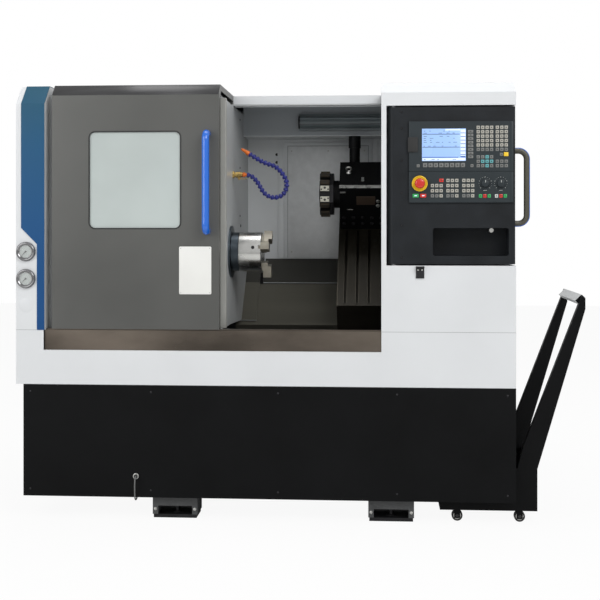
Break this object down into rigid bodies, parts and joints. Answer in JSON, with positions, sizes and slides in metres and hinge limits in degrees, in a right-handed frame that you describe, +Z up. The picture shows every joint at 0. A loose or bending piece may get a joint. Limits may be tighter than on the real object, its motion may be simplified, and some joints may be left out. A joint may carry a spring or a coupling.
{
  "type": "cnc turning lathe",
  "caption": "Slant-bed turning lathe with sliding door, chuck spindle, tool turret on a slotted slide, swing-out control box and pull-out coolant tank.",
  "frame": {"origin": "on the floor under the middle of the overall box", "axes": "+X to the operator's right along the spindle, +Y from the front to the back, +Z up"},
  "size_m": [2.316, 1.513, 1.779],
  "materials": {
    "white_paint": "fine textured powder coat",
    "black_paint": "fine textured powder coat",
    "grey_paint": "metallic grey powder coat",
    "inner_grey": "satin paint",
    "blue_paint": "gloss paint",
    "blue_plastic": "gloss moulded",
    "navy_plastic": "moulded",
    "steel": "brushed",
    "dark_steel": "blackened",
    "cast_iron": "painted casting",
    "machined": "turned and ground",
    "brass": "machined",
    "bezel": "satin moulded",
    "screen": "lit display",
    "keys": "rubber keys",
    "red_plastic": "gloss moulded",
    "green_plastic": "gloss moulded",
    "pane": "clear",
    "rubber": "moulded",
    "lamp_glass": "tinted cover",
    "dial_face": "printed face"
  },
  "bodies": {
    "root": {"base_skirt": "black_paint", "bed_casting": "cast_iron", "levelling_feet": "dark_steel", "front_band": "white_paint", "splash_apron": "steel", "left_cover": "white_paint", "blue_panel": "blue_paint", "inner_panel": "inner_grey", "left_wall": "inner_grey", "back_wall": "inner_grey", "roof": "white_paint", "right_column": "white_paint", "rear_cabinet": "white_paint", "work_lamp": "lamp_glass", "gauge_case_1": "dial_face", "gauge_case_2": "dial_face", "headstock": "cast_iron", "spindle_bearings": "machined", "drive_belt": "rubber", "spindle_motor": "cast_iron", "coolant_valve": "brass", "pendant_bracket": "black_paint", "earth_lead": "rubber"},
    "cabinet_door": {"cabinet_door": "white_paint"},
    "door": {"door_panel": "grey_paint", "door_window": "pane", "window_seal": "rubber", "door_handle": "blue_plastic"},
    "spindle": {"spindle": "machined", "chuck_body": "machined", "spindle_pulley": "cast_iron", "chuck_cylinder": "machined"},
    "jaw_1": {"jaw_1": "machined"},
    "jaw_2": {"jaw_2": "machined"},
    "jaw_3": {"jaw_3": "machined"},
    "motor_pulley": {"motor_pulley": "cast_iron"},
    "saddle": {"saddle": "dark_steel", "way_cover": "dark_steel"},
    "cross_slide": {"cross_slide": "dark_steel", "turret_housing": "black_paint"},
    "turret": {"turret_disc": "dark_steel", "tool_clamps": "machined"},
    "valve_lever": {"valve_lever": "brass"},
    "coolant_hose": {"coolant_hose": "navy_plastic"},
    "pendant": {"pendant_box": "black_paint", "operator_panel": "bezel", "screen": "screen", "keypad": "keys", "panel_handle": "blue_plastic"},
    "stop_button": {"stop_button": "red_plastic"},
    "feed_dial": {"feed_dial": "bezel"},
    "speed_dial": {"speed_dial": "bezel"},
    "start_button": {"start_button": "green_plastic"},
    "reset_button": {"reset_button": "red_plastic"},
    "tank": {"coolant_tank": "black_paint", "tank_handle": "black_paint"},
    "wheels_1": {"wheel_set_1": "rubber"},
    "wheels_2": {"wheel_set_2": "rubber"},
    "needle_1": {"gauge_needle_1": "bezel"},
    "needle_2": {"gauge_needle_2": "bezel"}
  },
  "joints": [
    {"name": "door_slide", "type": "slide", "parent": "root", "child": "door", "axis": [1, 0, 0], "range_m": [0, 0.655]},
    {"name": "cabinet_hinge", "type": "hinge", "parent": "root", "child": "cabinet_door", "pos_m": [0.357, 0.7465, 1.27], "axis": [0, 0, -1], "range_deg": [0, 110]},
    {"name": "spindle_spin", "type": "hinge", "parent": "root", "child": "spindle", "pos_m": [-0.274, -0.3505, 1.085], "axis": [1, 0, 0], "continuous": true},
    {"name": "motor_spin", "type": "hinge", "parent": "root", "child": "motor_pulley", "pos_m": [-0.943, -0.4405, 0.69], "axis": [1, 0, 0], "continuous": true},
    {"name": "saddle_slide", "type": "slide", "parent": "root", "child": "saddle", "axis": [1, 0, 0], "range_m": [-0.15, 0.14]},
    {"name": "cross_slide_travel", "type": "slide", "parent": "saddle", "child": "cross_slide", "axis": [0, -0.7071, -0.7071], "range_m": [-0.015, 0.19]},
    {"name": "turret_index", "type": "hinge", "parent": "cross_slide", "child": "turret", "pos_m": [0.064, -0.09497, 1.34053], "axis": [1, 0, 0], "continuous": true},
    {"name": "valve_turn", "type": "hinge", "parent": "root", "child": "valve_lever", "pos_m": [-0.285, -0.2905, 1.392], "axis": [0, 0, 1], "range_deg": [0, 90]},
    {"name": "hose_swivel", "type": "hinge", "parent": "root", "child": "coolant_hose", "pos_m": [-0.269, -0.2905, 1.422], "axis": [1, 0, 0], "range_deg": [-35, 35]},
    {"name": "pendant_swing", "type": "hinge", "parent": "root", "child": "pendant", "pos_m": [0.389, -0.6605, 1.044], "axis": [0, 0, -1], "range_deg": [0, 75]},
    {"name": "stop_press", "type": "slide", "parent": "pendant", "child": "stop_button", "axis": [0, 1, 0], "range_m": [0, 0.005]},
    {"name": "feed_turn", "type": "hinge", "parent": "pendant", "child": "feed_dial", "pos_m": [0.752, -0.6845, 1.367], "axis": [0, 1, 0], "range_deg": [-135, 135]},
    {"name": "speed_turn", "type": "hinge", "parent": "pendant", "child": "speed_dial", "pos_m": [0.814, -0.6845, 1.367], "axis": [0, 1, 0], "range_deg": [-135, 135]},
    {"name": "start_press", "type": "slide", "parent": "pendant", "child": "start_button", "axis": [0, 1, 0], "range_m": [0, 0.002], "stiffness_N_per_m": 300},
    {"name": "reset_press", "type": "slide", "parent": "pendant", "child": "reset_button", "axis": [0, 1, 0], "range_m": [0, 0.002], "stiffness_N_per_m": 300},
    {"name": "tank_pull", "type": "slide", "parent": "root", "child": "tank", "axis": [1, 0, 0], "range_m": [0, 0.6]},
    {"name": "wheels_1_spin", "type": "hinge", "parent": "tank", "child": "wheels_1", "pos_m": [0.646, -0.6305, 0.022], "axis": [0, 1, 0], "continuous": true},
    {"name": "wheels_2_spin", "type": "hinge", "parent": "tank", "child": "wheels_2", "pos_m": [0.897, -0.6305, 0.022], "axis": [0, 1, 0], "continuous": true},
    {"name": "needle_1_turn", "type": "hinge", "parent": "root", "child": "needle_1", "pos_m": [-1.116, -0.6905, 1.092], "axis": [0, 1, 0], "range_deg": [0, 270]},
    {"name": "needle_2_turn", "type": "hinge", "parent": "root", "child": "needle_2", "pos_m": [-1.116, -0.6905, 0.981], "axis": [0, 1, 0], "range_deg": [0, 270]},
    {"name": "jaw_1_slide", "type": "slide", "parent": "spindle", "child": "jaw_1", "axis": [0, -0.7071, -0.7071], "range_m": [0, 0.003]},
    {"name": "jaw_2_slide", "type": "slide", "parent": "spindle", "child": "jaw_2", "axis": [0, 0.9659, -0.2588], "range_m": [0, 0.003]},
    {"name": "jaw_3_slide", "type": "slide", "parent": "spindle", "child": "jaw_3", "axis": [0, -0.2588, 0.9659], "range_m": [0, 0.003]}
  ],
  "couplings": [
    {"joint": "motor_spin", "follows": "spindle_spin", "ratio": 1.6364},
    {"joint": "jaw_2_slide", "follows": "jaw_1_slide", "ratio": 1},
    {"joint": "jaw_3_slide", "follows": "jaw_1_slide", "ratio": 1}
  ]
}
